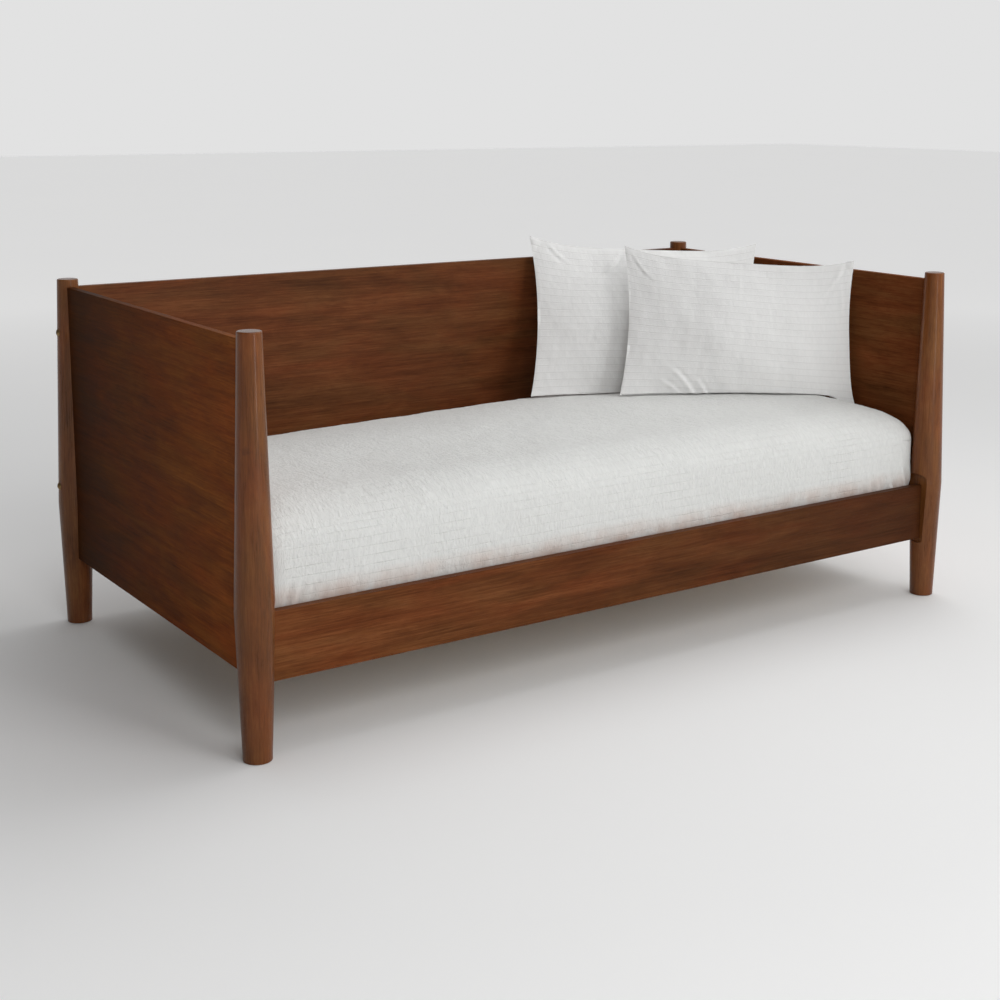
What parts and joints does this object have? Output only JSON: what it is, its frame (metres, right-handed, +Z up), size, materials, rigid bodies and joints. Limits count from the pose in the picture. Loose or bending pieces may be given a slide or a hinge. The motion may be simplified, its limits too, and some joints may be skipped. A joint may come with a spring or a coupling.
{
  "type": "daybed",
  "caption": "Daybed with turned tapered legs, flat wood side and back panels, a low front rail, a slatted deck, a covered mattress and pillows leaning in one corner.",
  "frame": {"origin": "on the floor, at the centre of the rectangle between the four leg axes", "axes": "+X along the length towards the pillows' end, -Y out of the open front, +Z up"},
  "size_m": [2.0252, 1.1147, 0.9074],
  "materials": {
    "walnut": "satin",
    "pale_wood": "matte",
    "beech": "matte",
    "antique_brass": "satin",
    "zinc_steel": "satin",
    "webbing": "matte",
    "nylon": "matte",
    "ticking": "matte",
    "coverlet_cotton": "matte",
    "pillow_ticking": "matte",
    "sham_cotton": "matte"
  },
  "bodies": {
    "frame": {"leg_front_left": "walnut", "leg_front_right": "walnut", "leg_back_left": "walnut", "leg_back_right": "walnut", "side_panel_left": "walnut", "side_panel_right": "walnut", "back_panel": "walnut", "front_rail": "walnut", "slat_01": "pale_wood", "slat_02": "pale_wood", "slat_03": "pale_wood", "slat_04": "pale_wood", "slat_05": "pale_wood", "slat_06": "pale_wood", "slat_07": "pale_wood", "slat_08": "pale_wood", "slat_09": "pale_wood", "slat_10": "pale_wood", "slat_11": "pale_wood", "slat_12": "pale_wood", "slat_13": "pale_wood", "slat_14": "pale_wood", "ledger_front": "pale_wood", "ledger_back": "pale_wood", "side_panel_dowels": "beech", "panel_bolts": "antique_brass", "barrel_nuts": "antique_brass", "hook_plate_left": "zinc_steel", "hook_plate_right": "zinc_steel", "slot_plate_left": "zinc_steel", "slot_plate_right": "zinc_steel", "plate_screws": "zinc_steel", "ledger_screws": "zinc_steel", "slat_screws": "zinc_steel", "slat_strap_front": "webbing", "slat_strap_back": "webbing", "foot_glide_front_left": "nylon", "foot_glide_front_right": "nylon", "foot_glide_back_left": "nylon", "foot_glide_back_right": "nylon"},
    "mattress": {"mattress": "ticking", "coverlet": "coverlet_cotton"},
    "pillow_rear": {"pillow_insert_rear": "pillow_ticking", "pillow_sham_rear": "sham_cotton"},
    "pillow_front": {"pillow_insert_front": "pillow_ticking", "pillow_sham_front": "sham_cotton"}
  },
  "joints": [
    {"name": "mattress_lift", "type": "slide", "parent": "frame", "child": "mattress", "axis": [0, 0, 1], "range_m": [0, 0.65]},
    {"name": "pillow_rear_lift", "type": "slide", "parent": "mattress", "child": "pillow_rear", "axis": [0, 0, 1], "range_m": [0, 0.5]},
    {"name": "pillow_front_lift", "type": "slide", "parent": "pillow_rear", "child": "pillow_front", "axis": [0, 0, 1], "range_m": [0, 0.5]}
  ]
}
